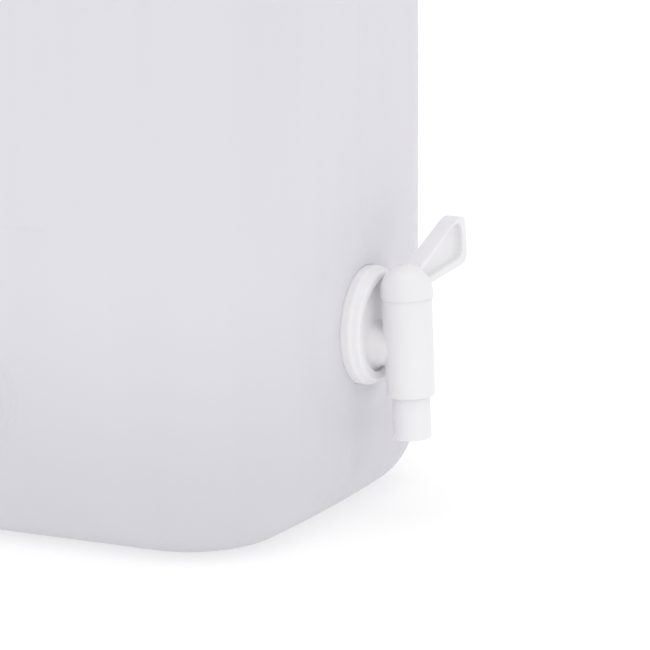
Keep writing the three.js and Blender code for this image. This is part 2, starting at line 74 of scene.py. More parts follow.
HANDLE = {"rear": -70, "front": 24, "grip": 387.6, "wide": 14, "high": 11, "bend": 18, "flare": 9,
          "splay": 4, "wall": 2.4}
FILLER = {"x": 74, "root": 27.5, "depth": 1.6, "pitch": 5, "turns": 1.5, "bore": 23.5, "neck": 30,
          "wall": 2.2, "height": 20, "top": 2.4, "liner": 1.6, "ribs": 48, "rib": 0.85}
VENT = {"x": -100, "root": 8.6, "depth": 0.9, "pitch": 3, "turns": 1.25, "bore": 5.6, "neck": 15,
        "wall": 1.7, "height": 11, "top": 1.8, "liner": 1.2, "ribs": 24, "rib": 0.5}
GAP = 0.3
SEEN_GAP = 0.12  # between the dome's skirt and the barrel's rim
RIM = 0.9  # how far the barrel's rim reaches up inside the dome
TAMPER = {"inner": 30.1, "outer": 32.6, "low": 3.2, "height": 4.4, "bridges": 12}

SPOUT_THREAD, SPOUT_PITCH, SPOUT_TURNS = 1.2, 3.0, 1.25
TAP_X, LEAN = 22.75, math.radians(2.6)
DISC_RADIUS, SPIGOT_RADIUS, SPIGOT_BORE, SPIGOT_LENGTH = 22.0, 15.0, 12.4, 14.0
THROAT_RADIUS, THROAT_FLARE, THROAT_RISE, THROAT_BORE = 9.25, 11.2, 2.2, 4.5
BARREL_TOP, BARREL_FOOT, BARREL_R_TOP, BARREL_R_FOOT, BARREL_BORE = 21.8, -22.3, 11.3, 10.85, 8.9
NUT_OUTER, NUT_OPENING, NUT_SHOULDER, NUT_STEP = 26.8, 20.5, 24.6, 6.0
DISC_LOW, DISC_HIGH, NUT_FRONT = 5.8, 7.6, 9.9
PLUG_RADIUS, PLUG_FOOT, PLUG_BORE, PLUG_BORE_TOP, PORT_RADIUS = 8.5, -41.4, 5.5, 8.0, 4.0
SEAL_Z, SEAL_SECTION, SEAL_GAP, PLUG_GROOVE = 13.5, 0.85, 0.12, 1.75
CLIP_INNER, CLIP_OUTER, CLIP_LOW, CLIP_HIGH = 7.05, 9.6, -18.8, -17.6
SPLINE, SOCKET = 7.0, 7.6
DOME_RADIUS, DOME_TOP = 11.8, 37.2
LEVER_REST = math.radians(72)
LEVER_START, LEVER_REACH, LEVER_WIDTH, LEVER_RIM, LEVER_WEB = 4.0, 35.9, 9.8, 2.8, 3.2
LEVER_FOOT, LEVER_HEEL, LEVER_CROWN, LEVER_ROOT = 27.4, 33.4, 54.2, 35.2
PIN_MARK, PIN_REACH, PIN_Z = 0.8, 20.0, 43.8

bottle_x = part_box("bottle_body")[0].x / MM + HALF_LENGTH
face_x = bottle_x + HALF_LENGTH


# ---- mesh tools --------------------------------------------------------------------------------------------


def make_object(name, points, faces):
    """An object from points in millimetres, with its faces pointing out."""
    mesh = bpy.data.meshes.new(name)
    mesh.from_pydata(points, [], faces)
    bm = bmesh.new()
    bm.from_mesh(mesh)
    bmesh.ops.remove_doubles(bm, verts=bm.verts, dist=1e-4)
    bmesh.ops.dissolve_degenerate(bm, edges=bm.edges, dist=1e-5)
    bmesh.ops.delete(bm, geom=[e for e in bm.edges if not e.link_faces], context="EDGES")
    bmesh.ops.recalc_face_normals(bm, faces=bm.faces)
    bm.to_mesh(mesh)
    bm.free()
    obj = bpy.data.objects.new(name, mesh)
    bpy.context.scene.collection.objects.link(obj)
    return obj


def ring_grid(rings, close_rows=False):
    """Points and faces of closed rings skinned in order, with flat ends unless the last ring meets the first."""
    count = len(rings[0])
    points = [p for ring in rings for p in ring]
    faces = []
    for row in range(len(rings) if close_rows else len(rings) - 1):
        low, high = row * count, ((row + 1) % len(rings)) * count
        for i in range(count):
            j = (i + 1) % count
            faces.append((low + i, low + j, high + j, high + i))
    if not close_rows:
        faces.append(tuple(range(count))[::-1])
        faces.append(tuple(range(len(points) - count, len(points))))
    return points, faces


def rounded(corners, steps=5):
    """A closed outline from (a, b, radius) corners, each rounded off by its radius."""
    outline = []
    for i, (a, b, radius) in enumerate(corners):
        tip = Vector((a, b))
        if radius <= 0:
            outline.append(tip)
            continue
        before = Vector(corners[i - 1][:2]) - tip
        after = Vector(corners[(i + 1) % len(corners)][:2]) - tip
        start = tip + before.normalized() * min(radius, before.length * 0.49)
        end = tip + after.normalized() * min(radius, after.length * 0.49)
        for k in range(steps + 1):
            t = k / steps
            outline.append(start * (1 - t) ** 2 + tip * 2 * t * (1 - t) + end * t ** 2)
    return [(p.x, p.y) for p in outline]


def lathe(name, outline, sides=96):
    """A solid of revolution about Z from a closed (radius, z) outline, both in millimetres."""
    rings = []
    for i in range(sides):
        c, s = math.cos(2 * math.pi * i / sides), math.sin(2 * math.pi * i / sides)
        rings.append([(r * c, r * s, z) for r, z in outline])
    points, faces = ring_grid(rings, close_rows=True)
    return make_object(name, points, faces)


def cylinder(name, radius, low, high, sides=96):
    return lathe(name, [(0, low), (radius, low), (radius, high), (0, high)], sides)


def thread(name, radius, depth, pitch, turns, low, sides=72):
    """A right-handed helical ridge about Z that runs out to nothing at both ends."""
    root, crest, sunk, run_out = pitch * 0.22, pitch * 0.1, math.copysign(0.5, depth), 0.12
    section = rounded([(-sunk, -root, 0), (depth, -crest, 0.3), (depth, crest, 0.3), (-sunk, root, 0)], 2)
    steps = round(sides * turns)
    rings = []
    for i in range(steps + 1):
        u = i / steps
        size = max(0.02, min(1, u / run_out, (1 - u) / run_out))
        angle = 2 * math.pi * turns * u
        ring = []
        for out, up in section:
            r = radius - sunk + (out + sunk) * size
            ring.append((r * math.cos(angle), r * math.sin(angle), low + pitch * turns * u + up * size))
        rings.append(ring)
    return make_object(name, *ring_grid(rings))


def block(name, size, centre=(0, 0, 0)):
    """A box whose edges are cut in small chamfers, for ribs, stubs and cutters."""
    x, y, z = (v / 2 for v in size)
    outline = rounded([(-x, -y, 0.2), (x, -y, 0.2), (x, y, 0.2), (-x, y, 0.2)], 2)
    rings = [[(a + centre[0], b + centre[1], h + centre[2]) for a, b in outline] for h in (-z, z)]
    return make_object(name, *ring_grid(rings))


def moved(obj, matrix):
    """The object, with its mesh moved by a matrix."""
    obj.data.transform(matrix)
    return obj


def baked(obj):
    """Applies the object's modifiers to its mesh."""
    graph = bpy.context.evaluated_depsgraph_get()
    mesh = bpy.data.meshes.new_from_object(obj.evaluated_get(graph))
    obj.modifiers.clear()
    obj.data = mesh
    return obj


def combine(target, tools, operation):
    """Joins tools to the target or cuts them from it; the tools are used up."""
    for tool in tools:
        modifier = target.modifiers.new("combine", "BOOLEAN")
        modifier.operation = operation
        modifier.solver = "MANIFOLD"
        modifier.object = tool
        baked(target)
        bpy.data.objects.remove(tool)
    return target


def join(target, *tools):
    return combine(target, tools, "UNION")


def cut(target, *tools):
    return combine(target, tools, "DIFFERENCE")


def soften(obj, voxel, rounds):
    """Remeshes a moulded piece evenly and eases its edges, as a mould's small radii do."""
    remesh = obj.modifiers.new("even", "REMESH")
    remesh.mode = "VOXEL"
    remesh.voxel_size = voxel
    ease = obj.modifiers.new("ease", "SMOOTH")
    ease.factor = 0.5
    ease.iterations = rounds
    return baked(obj)


def finish_piece(obj, body, slot, material, *nodes, sharp=35):
    """Shrinks a made piece to metres, gives it its material and its body, and hides the CAD nodes it stands for."""
    obj.data.transform(Matrix.Scale(MM, 4))
    obj.data.materials.clear()
    obj.data.materials.append(material)
    obj.data.shade_smooth()
    obj.data.set_sharp_from_angle(angle=math.radians(sharp))
    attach(obj, body)
    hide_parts(*nodes)
    return obj


def smoothstep(low, high, value):
    t = min(1.0, max(0.0, (value - low) / (high - low)))
    return t * t * (3 - 2 * t)


# ---- materials ---------------------------------------------------------------------------------------------


class Nodes:
    """A short way to write a node tree around one Principled shader."""

    def __init__(self, name, **values):
        self.material = bpy.data.materials.new(name)
        self.material.use_nodes = True
        self.tree = self.material.node_tree
        self.shader = self.tree.nodes["Principled BSDF"]
        for socket, value in values.items():
            self.shader.inputs[socket.replace("_", " ")].default_value = value
        self.place = self.add("ShaderNodeTexCoord").outputs["Object"]

    def add(self, kind, **settings):
        node = self.tree.nodes.new(kind)
        for key, value in settings.items():
            setattr(node, key, value)
        return node

    def link(self, source, target):
        self.tree.links.new(source, target)

    def noise(self, scale, detail=2.0, stretch=(1, 1, 1), roughness=0.5):
        """Noise of `scale` cells per metre, stretched along the axes."""
        mapping = self.add("ShaderNodeMapping")
        mapping.inputs["Scale"].default_value = stretch
        self.link(self.place, mapping.inputs["Vector"])
        texture = self.add("ShaderNodeTexNoise")
        texture.inputs["Scale"].default_value = scale
        texture.inputs["Detail"].default_value = detail
        texture.inputs["Roughness"].default_value = roughness
        self.link(mapping.outputs["Vector"], texture.inputs["Vector"])
        return texture.outputs["Fac"]

    def spread(self, value, low, high):
        """Maps the middle of a noise onto low to high."""
        ranged = self.add("ShaderNodeMapRange")
        ranged.inputs["From Min"].default_value = 0.3
        ranged.inputs["From Max"].default_value = 0.7
        ranged.inputs["To Min"].default_value = low
        ranged.inputs["To Max"].default_value = high
        self.link(value, ranged.inputs["Value"])
        return ranged.outputs["Result"]

    def blend(self, factor, dark, light):
        """A colour between dark and light by a factor."""
        mix = self.add("ShaderNodeMix", data_type="RGBA")
        mix.inputs[6].default_value = (*dark, 1)
        mix.inputs[7].default_value = (*light, 1)
        self.link(factor, mix.inputs[0])
        return mix.outputs[2]

    def bump(self, *layers):
        """Stacks (height, strength, distance in mm) layers into the shader's normal."""
        normal = None
        for height, strength, distance in layers:
            bump = self.add("ShaderNodeBump")
            bump.inputs["Strength"].default_value = strength
            bump.inputs["Distance"].default_value = distance * MM
            self.link(height, bump.inputs["Height"])
            if normal:
                self.link(normal, bump.inputs["Normal"])
            normal = bump.outputs["Normal"]
        self.link(normal, self.shader.inputs["Normal"])


def bottle_material():
    """Natural polyethylene: milky, a little lilac, with painted shade that darkens it towards the base, and with
    parison streaks and the mould's blasted grain."""
    m = Nodes("bottle_polyethylene", IOR=1.5, Subsurface_Weight=0.15, Subsurface_Scale=0.003,
              Subsurface_Radius=(1.0, 0.95, 1.0))
    clouds = m.noise(9, 3, (1, 1, 0.5))
    streaks = m.noise(60, 2, (1, 1, 0.03))
    tone = m.add("ShaderNodeMix", data_type="FLOAT")
    tone.inputs[0].default_value = 0.4
    m.link(clouds, tone.inputs[2])
    m.link(streaks, tone.inputs[3])
    height = m.add("ShaderNodeSeparateXYZ")
    m.link(m.place, height.inputs[0])
    # painted shade: the colour is multiplied darker towards the bottom, fading out 130 mm up
    rise = m.add("ShaderNodeMapRange", interpolation_type="SMOOTHSTEP")
    rise.inputs["From Min"].default_value = 0.0
    rise.inputs["From Max"].default_value = 0.13
    m.link(height.outputs["Z"], rise.inputs["Value"])
    colour = m.add("ShaderNodeMix", data_type="RGBA", blend_type="MULTIPLY")
    colour.inputs[0].default_value = 1
    m.link(m.blend(m.spread(tone.outputs[0], 0, 1), BOTTLE_DARK, BOTTLE_LIGHT), colour.inputs[6])
    m.link(m.blend(rise.outputs["Result"], FOOT_SHADE_TINT, (1, 1, 1)), colour.inputs[7])
    m.link(colour.outputs[2], m.shader.inputs["Base Color"])
    m.link(m.spread(m.noise(220, 3), 0.40, 0.50), m.shader.inputs["Roughness"])
    m.bump((m.noise(45, 2), 0.25, 0.25), (m.noise(1600, 2), 0.2, 0.05))
    return m.material


def moulded_material(name, dark, light, roughness, grain=1.0):
    """Injection-moulded plastic with faint flow marks, sinks and fine polish lines."""
    m = Nodes(name, IOR=1.49, Subsurface_Weight=0.12, Subsurface_Scale=0.0015, Subsurface_Radius=(1.0, 0.95, 0.95))
    flow = m.noise(55, 3, (1, 1, 0.45))
    m.link(m.blend(m.spread(flow, 0, 1), dark, light), m.shader.inputs["Base Color"])
    m.link(m.spread(m.noise(320, 3), roughness - 0.05, roughness + 0.07), m.shader.inputs["Roughness"])
    m.bump((m.noise(130, 2), 0.15, 0.12), (m.noise(2400, 2), 0.15 * grain, 0.03))
    return m.material


def rubber_material():
    m = Nodes("seal_rubber_black", IOR=1.52)
    m.link(m.blend(m.noise(300, 3), (0.02, 0.02, 0.022), (0.05, 0.05, 0.052)), m.shader.inputs["Base Color"])
    m.link(m.spread(m.noise(500, 2), 0.55, 0.75), m.shader.inputs["Roughness"])
    m.bump((m.noise(1800, 2), 0.3, 0.05))
    return m.material


def foam_material():
    m = Nodes("liner_foam_white", IOR=1.45)
    m.link(m.blend(m.noise(900, 4), (0.62, 0.62, 0.6), (0.8, 0.8, 0.78)), m.shader.inputs["Base Color"])
    m.link(m.spread(m.noise(900, 2), 0.75, 0.9), m.shader.inputs["Roughness"])
    m.bump((m.noise(1500, 4), 0.5, 0.12))
    return m.material


# the third colour is the painted shade multiplied into the bottle's colour at its foot
BOTTLE_DARK, BOTTLE_LIGHT, FOOT_SHADE_TINT = (0.735, 0.72, 0.775), (0.76, 0.745, 0.80), (0.87, 0.87, 0.87)
bottle_plastic = bottle_material()
tap_plastic = moulded_material("tap_polypropylene", (0.85, 0.84, 0.86), (0.88, 0.87, 0.885), 0.34)
cap_plastic = moulded_material("cap_polypropylene", (0.86, 0.86, 0.87), (0.89, 0.89, 0.9), 0.42, 1.6)
seal_rubber = rubber_material()
liner_foam = foam_material()


# ---- bottle ------------------------------------------------------------------------------------------------

END_RADIUS = (HALF_DEPTH ** 2 + END_BULGE ** 2) / (2 * END_BULGE)
END_X = HALF_LENGTH - END_RADIUS
CORNER_Y = HALF_DEPTH - CORNER_RADIUS
CORNER_X = END_X + math.sqrt((END_RADIUS - CORNER_RADIUS) ** 2 - CORNER_Y ** 2)
BLEND = math.asin(CORNER_Y / (END_RADIUS - CORNER_RADIUS))


def spaced(low, high, step):
    """Values from low to high in even steps of about `step`, without the last."""
    count = max(1, round((high - low) / step))
    return [low + (high - low) * i / count for i in range(count)]


def end_stations(step):
    """Distances from the seam across half an end, close together at the seam."""
    return [0, 0.25, 0.5, 0.75, 1.1, 1.6, 2.3, *spaced(3.2, CORNER_Y, step)]


def plan_columns(fine, coarse):
    """The plan outline's columns as functions of the inset, counter-clockwise from the +X end's middle."""
    def on_end(side, y):
        angle = math.asin(y / END_RADIUS)
        return lambda d: (side * (END_X + (END_RADIUS - d) * math.cos(angle)), (END_RADIUS - d) * math.sin(angle))

    def on_corner(sx, sy, angle):
        return lambda d: (sx * (CORNER_X + (CORNER_RADIUS - d) * math.cos(angle)),
                          sy * (CORNER_Y + (CORNER_RADIUS - d) * math.sin(angle)))

    def on_side(sy, x):
        return lambda d: (x, sy * (HALF_DEPTH - d))

    corner = spaced(BLEND, math.pi / 2, math.radians(coarse * 0.9))
    along = spaced(-CORNER_X, CORNER_X, coarse * 1.5)
    marked = [*spaced(-CORNER_X, -MARK_HALF, coarse * 1.5), *spaced(-MARK_HALF, MARK_HALF, fine * 0.8),
              *spaced(MARK_HALF, CORNER_X, coarse * 1.5)]
    near = end_stations(fine)
    far = end_stations(coarse)
    columns = [on_end(1, y) for y in near]
    columns += [on_corner(1, 1, a) for a in corner]
    columns += [on_side(1, -x) for x in along]
    columns += [on_corner(-1, 1, a) for a in [math.pi / 2, *reversed(corner)][:-1]]
    columns += [on_end(-1, y) for y in [CORNER_Y * END_RADIUS / (END_RADIUS - CORNER_RADIUS), *reversed(far)]]
    columns += [on_end(-1, -y) for y in far[1:]]
    columns += [on_corner(-1, -1, a) for a in corner]
    columns += [on_side(-1, x) for x in marked]
    columns += [on_corner(1, -1, a) for a in [math.pi / 2, *reversed(corner)][:-1]]
    columns += [on_end(1, -y) for y in
                [CORNER_Y * END_RADIUS / (END_RADIUS - CORNER_RADIUS), *reversed(near[1:])]]
    return columns


def wall_levels(depth, fine, coarse):
    """(inset, z, scale about the middle) of the skin's rings, from the base's middle to the top's."""
    levels = [(BASE_INSET + STANDING_RING + 5, PUSH_UP, s) for s in (0.02, 0.4, 0.7, 0.9, 1)]
    levels += [(BASE_INSET + STANDING_RING + 4 - 4 * t, PUSH_UP * (1 - smoothstep(0, 1, t)), 1)
               for t in (0, 0.25, 0.5, 0.75, 1)]
    foot_arc, shoulder_arc = 60, 40
    steps = round(foot_arc / fine)
    for i in range(steps):
        angle = math.pi / 2 * i / steps
        levels.append((BASE_INSET * (1 - math.sin(angle)), BASE_RISE * (1 - math.cos(angle)), 1))
    levels += [(0, z, 1) for z in spaced(BASE_RISE, FINE_TOP, fine)]
    levels += [(0, z, 1) for z in spaced(FINE_TOP, WALL_TOP, coarse * 1.6)]
    steps = round(shoulder_arc / coarse)
    for i in range(steps + 1):
        angle = math.pi / 2 * i / steps
        levels.append((SHOULDER_INSET * (1 - math.cos(angle)),
                       WALL_TOP + (PANEL_Z - WALL_TOP) * math.sin(angle), 1))
    levels += [(SHOULDER_INSET + 1, PANEL_Z + CROWN * (1 - s * s), s) for s in (0.93, 0.8, 0.6, 0.4, 0.2, 0.02)]
    middle = PANEL_Z / 2
    return [(inset + depth, z + depth if z < middle else z - depth, s) for inset, z, s in levels]


def relief(x, y, z):
    """How far the skin stands out at a point: the tap's boss, the valley below it, the seam, the level bar and
    the double ring on the side that faces -Y, and the slow unevenness of a blown wall."""
    out = -WAVE_DEPTH * (noise.noise(Vector((x, y, z * 0.6)) / WAVE_LENGTH) + 1) * 0.5
    seam = SEAM_HEIGHT if x < 0 else SEAM_HEIGHT * smoothstep(SPOUT_Z - 20, SPOUT_Z + 60, z)
    if abs(y) < SEAM_HALF * 2:
        out += seam * math.exp(-(y / SEAM_HALF) ** 2 * 2)
    if x > 100:
        r = math.hypot(y, z - SPOUT_Z)
        out += BOSS_HEIGHT * smoothstep(BOSS_RADIUS, BOSS_CREST, r)
        if z < SPOUT_Z:
            past = math.hypot(y - VALLEY_Y, max(0, VALLEY_LOW - z)) / VALLEY_HALF
            out -= VALLEY_DEPTH * math.exp(-past * past)
    if y < -100 and abs(x) < MARK_HALF:
        r = math.hypot(x, z - RING_Z)
        out += RING_RAISE * sum(math.exp(-(r - ring) ** 2) for ring in RINGS)
        ends = 1 - smoothstep(LEVEL_HALF - 1.5, LEVEL_HALF + 1, abs(x))
        out += LEVEL_RAISE * ends * math.exp(-((z - LEVEL_Z) / LEVEL_SPREAD) ** 2)
    return out


def skin(name, depth, fine, coarse):
    """The container's skin, `depth` inside its outer face, with the face's relief."""
    columns = plan_columns(fine, coarse)
    rings = [[(*[v * s for v in c(inset)], z) for c in columns] for inset, z, s in wall_levels(depth, fine, coarse)]
    obj = make_object(name, *ring_grid(rings))
    mesh = obj.data
    mesh.update()
    normals = [v.normal.copy() for v in mesh.vertices]
    for vertex, normal in zip(mesh.vertices, normals):
        if vertex.co.z > 0.01:
            vertex.co += normal * relief(*vertex.co)
    return obj


def handle_bar(name, depth):
    """The grip and its legs, with feet that flare into the top panel."""
    h = HANDLE
    foot = PANEL_Z - 3 - depth * 2
    bend = h["bend"]
    top = h["grip"] - bend
    sides, turn_steps = 56, 12

    def leg(x, side, upward):
        heights = spaced(foot, top, 1.0) + [top]
        rows = [(x + side * h["splay"] * (top - z) / (top - foot), z) for z in heights]
        angle = math.pi / 2 if upward else -math.pi / 2
        rows = rows if upward else rows[::-1]
        return [(px, pz, angle) for px, pz in rows]

    def turn(cx, start, end):
        rows = []
        for i in range(1, turn_steps + 1):
            travel = start + (end - start) * i / turn_steps
            normal = travel + math.pi / 2
            rows.append((cx + bend * math.cos(normal), top + bend * math.sin(normal), travel))
        return rows

    stations = leg(h["rear"], -1, True)  # x, z and direction of travel in the XZ plane
    stations += turn(h["rear"] + bend, math.pi / 2, 0)
    stations += [(x, h["grip"], 0) for x in spaced(h["rear"] + bend, h["front"] - bend, 4)[1:]]
    stations.append((h["front"] - bend, h["grip"], 0))
    stations += turn(h["front"] - bend, 0, -math.pi / 2)
    stations += leg(h["front"], 1, False)
    rings = []
    for x, z, travel in stations:
        above = z - PANEL_Z
        flare = 0.0
        if above < h["flare"]:
            flare = h["flare"] - math.sqrt(max(0, h["flare"] ** 2 - (h["flare"] - max(0, above)) ** 2))
        nx, nz = math.cos(travel + math.pi / 2), math.sin(travel + math.pi / 2)
        ring = []
        for i in range(sides):
            a = 2 * math.pi * i / sides
            wide = (h["wide"] - depth + flare) * math.cos(a)
            high = (h["high"] - depth + flare) * math.sin(a)
            ring.append((x + nx * high, wide, z + nz * high))
        rings.append(ring)
    return make_object(name, *ring_grid(rings))


def neck(spec, name, bead):
    """A neck with its thread; `bead` adds the stop for the tamper band."""
    root, top = spec["root"], PANEL_Z + spec["neck"]
    corners = [(0, PANEL_Z - 2, 0), (root + 4, PANEL_Z - 2, 0), (root + 3.2, PANEL_Z + 1.3, 0.5),
               (root, PANEL_Z + 3.2, 2.5)]
    if bead:
        corners += [(root, PANEL_Z + 8.1, 0.4), (root + 1.7, PANEL_Z + 8.1, 0.4), (root + 0.9, PANEL_Z + 9.2, 0.5),
                    (root, PANEL_Z + 9.6, 0.4)]
    corners += [(root, top, 0.8), (0, top, 0)]
    obj = lathe(name, rounded(corners), 120)
    low = top - spec["turns"] * spec["pitch"] - spec["pitch"] * 0.5
    join(obj, thread(name + "_ridge", root, spec["depth"], spec["pitch"], spec["turns"], low))
    return moved(obj, Matrix.Translation((spec["x"], 0, 0)))


def on_spout(obj, z=SPOUT_Z):
    """Turns a piece made about Z so that its +Z points out of the end, along the spout."""
    return moved(obj, Matrix.Translation((face_x, 0, z)) @ Matrix.Rotation(math.pi / 2, 4, "Y"))


def on_barrel(obj, turn=0.0):
    """Places a piece made about the barrel's axis, with z = 0 at the tap's neck."""
    return moved(obj, Matrix.Translation((face_x + TAP_X, 0, NECK_Z)) @ Matrix.Rotation(-LEAN, 4, "Y")
                 @ Matrix.Rotation(turn, 4, "Z"))


def bottle():
    body = skin("bottle_visual", SKIN_INSET, fine=1.2, coarse=5)
    join(body, handle_bar("bar", 0), neck(FILLER, "filler_neck", True), neck(VENT, "vent_neck", False))
    inner = skin("inside", WALL + SKIN_INSET, fine=5, coarse=12)
    join(inner, handle_bar("bar", HANDLE["wall"]))
    for spec in (FILLER, VENT):
        bore = cylinder("bore", spec["bore"], PANEL_Z - 12, PANEL_Z + spec["neck"] + 2)
        join(inner, moved(bore, Matrix.Translation((spec["x"], 0, 0))))
    cut(body, inner)
    moved(body, Matrix.Translation((bottle_x, 0, 0)))
    return body


def seat_and_spout(body):
    """Cuts the ring nut's seat in the boss, with a rounded rim, and stands the spout in it."""
    cutter = rounded([(0, -SEAT_DEPTH, 0), (SEAT_RADIUS, -SEAT_DEPTH, 0.8), (SEAT_RADIUS, SEAT_BEVEL, 0.4),
                      (SEAT_MOUTH, BOSS_HEIGHT - SKIN_INSET - 0.4, 1.6), (SEAT_MOUTH + 6, BOSS_HEIGHT + 1.5, 0),
                      (0, BOSS_HEIGHT + 1.5, 0)])
    cup = lathe("cup", [(SEAT_RADIUS + 2.4, -SEAT_DEPTH - 2.6), (SEAT_RADIUS + 2.4, 0.5), (0, 0.5),
                        (0, -SEAT_DEPTH - 2.6)], 96)
    spout = lathe("spout", rounded([(0, -SEAT_DEPTH - 2, 0), (SPOUT_ROOT, -SEAT_DEPTH - 2, 0),
                                    (SPOUT_ROOT, SPOUT_END, 0.6), (0, SPOUT_END, 0)]), 96)
    join(spout, thread("spout_ridge", SPOUT_ROOT, SPOUT_THREAD, SPOUT_PITCH, SPOUT_TURNS, -SEAT_DEPTH + 1))
    join(body, on_spout(cup))
    cut(body, on_spout(lathe("seat", cutter, 192)))
    join(body, on_spout(spout))
    return cut(body, on_spout(cylinder("bore", SPOUT_BORE, -14, SPOUT_END + 1)))


body = finish_piece(seat_and_spout(bottle()), "bottle", "bottle_plastic", bottle_plastic, "bottle_body")


# ---- caps --------------------------------------------------------------------------------------------------


def screw_cap(name, spec):
    """A ribbed screw cap with a slightly dished top, its skirt and its thread."""
    lip = PANEL_Z + spec["neck"]
    inner = spec["root"] + spec["depth"] + 1.5 * GAP
    outer = inner + spec["wall"]
    ceiling = lip + spec["liner"] + 2 * GAP
    top = ceiling + spec["top"]
    low = top - spec["height"]
    outside = rounded([(outer, low, 0.5), (outer, top, 1.6), (outer * 0.84, top, 1.0),
                       (outer * 0.80, top - 0.5, 1.0), (0, top - 0.5, 0)])
    inside = [(0, ceiling), (inner - 0.6, ceiling), (inner, ceiling - 0.6), (inner, low + 0.4), (inner + 0.4, low)]
    per_rib = 10
    sides = spec["ribs"] * per_rib
    rings = []
    for i in range(sides):
        angle = 2 * math.pi * i / sides
        wave = abs(math.sin(math.pi * i / per_rib)) ** 0.7
        ring = []
        for r, z in outside + inside:
            mask = smoothstep(low + 1.2, low + 2.6, z) * (1 - smoothstep(top - 3.0, top - 1.2, z))
            swell = spec["rib"] * wave * mask if r > inner + 0.5 and z < top - 0.6 else 0
            ring.append(((r + swell) * math.cos(angle), (r + swell) * math.sin(angle), z))
        rings.append(ring)
    cap = make_object(name, *ring_grid(rings, close_rows=True))
    ridge = thread("ridge", inner, -spec["depth"], spec["pitch"], spec["turns"],
                   lip - spec["turns"] * spec["pitch"] - spec["pitch"])
    join(cap, ridge)
    return moved(cap, Matrix.Translation((bottle_x + spec["x"], 0, 0)))


def liner_disc(name, spec):
    low = PANEL_Z + spec["neck"] + GAP
    edge = spec["root"] - 0.2
    disc = lathe(name, rounded([(0, low, 0), (edge, low, 0.3), (edge, low + spec["liner"], 0.3),
                                (0, low + spec["liner"], 0)]))
    return moved(disc, Matrix.Translation((bottle_x + spec["x"], 0, 0)))


def tamper_band():
    low = PANEL_Z + TAMPER["low"]
    high = low + TAMPER["height"]
    band = lathe("tamper_band", rounded([(TAMPER["inner"], low, 0.3), (TAMPER["outer"], low, 0.6),
                                         (TAMPER["outer"], high, 0.4), (TAMPER["inner"], high, 0.3)], 3), 144)
    for i in range(TAMPER["bridges"]):
        stub = block("stub", (1.2, 1.4, 1.1), ((TAMPER["inner"] + TAMPER["outer"]) / 2, 0, high))
        join(band, moved(stub, Matrix.Rotation(2 * math.pi * i / TAMPER["bridges"], 4, "Z")))
    return moved(band, Matrix.Translation((bottle_x + FILLER["x"], 0, 0)))


finish_piece(screw_cap("filler_cap_visual", FILLER), "filler_cap", "cap_plastic", cap_plastic, "filler_cap")
finish_piece(screw_cap("vent_cap_visual", VENT), "vent_cap", "cap_plastic", cap_plastic, "vent_cap")
finish_piece(liner_disc("liner_visual", FILLER), "filler_cap_carrier", "liner_foam", liner_foam,
             "filler_cap_liner")
finish_piece(liner_disc("vent_gasket_visual", VENT), "vent_cap_carrier", "seal_rubber", seal_rubber,
             "vent_cap_gasket")
finish_piece(tamper_band(), "bottle", "cap_plastic", cap_plastic, "tamper_ring")


# ---- tap ---------------------------------------------------------------------------------------------------


def ring_nut():
    """The clamping nut: a side band, a step and a rounded shoulder round the opening."""
    back = -SEAT_DEPTH + GAP
    inner = SPOUT_ROOT + SPOUT_THREAD + 1.5 * GAP
    nut = lathe("ring_nut_visual", rounded([
        (inner, back, 0.3), (NUT_OUTER, back, 0.6), (NUT_OUTER, NUT_STEP, 1.2),
        (NUT_SHOULDER + 0.9, NUT_STEP + 0.7, 0.5), (NUT_SHOULDER, NUT_FRONT, 1.5), (NUT_OPENING, NUT_FRONT, 0.7),
        (NUT_OPENING, NUT_FRONT - 2, 0.2), (inner, NUT_FRONT - 2, 0.2)], 6), 160)
    join(nut, thread("ridge", inner, -SPOUT_THREAD, SPOUT_PITCH, SPOUT_TURNS, -SEAT_DEPTH + 2.5))
    return on_spout(nut)


def tap_body():
    """The disc, the off-centre neck and the barrel, as one moulding with eased inner corners."""
    rim = BARREL_TOP + RIM
    disc = on_spout(cylinder("tap_body_visual", DISC_RADIUS, DISC_LOW, DISC_HIGH, 128))
    spigot = on_spout(cylinder("spigot", SPIGOT_RADIUS, DISC_LOW - SPIGOT_LENGTH, DISC_LOW + 0.5))
    throat = on_spout(lathe("throat", rounded([
        (0, DISC_LOW + 0.5, 0), (THROAT_FLARE, DISC_LOW + 0.5, 0), (THROAT_FLARE, DISC_HIGH, 0),
        (THROAT_RADIUS, DISC_HIGH + THROAT_RISE, 2), (THROAT_RADIUS, TAP_X, 0), (0, TAP_X, 0)]), 96), NECK_Z)
    barrel = on_barrel(lathe("barrel", rounded([
        (0, BARREL_FOOT, 0), (BARREL_R_FOOT, BARREL_FOOT, 1.6), (BARREL_R_TOP, BARREL_TOP, 0),
        (BARREL_R_TOP, rim, 0.3), (0, rim, 0)], 6), 128))
    join(disc, spigot, throat, barrel)
    cut(disc,
        on_spout(cylinder("way", SPIGOT_BORE, DISC_LOW - SPIGOT_LENGTH - 1, DISC_LOW - 0.4)),
        on_spout(cylinder("way", THROAT_BORE, 0, TAP_X, 48), NECK_Z),
        on_barrel(cylinder("way", BARREL_BORE, BARREL_FOOT - 1, rim + 1, 128)),
        on_barrel(cylinder("way", CLIP_OUTER + GAP, BARREL_FOOT - 1, CLIP_HIGH + GAP)))
    return soften(disc, 0.42, 4)


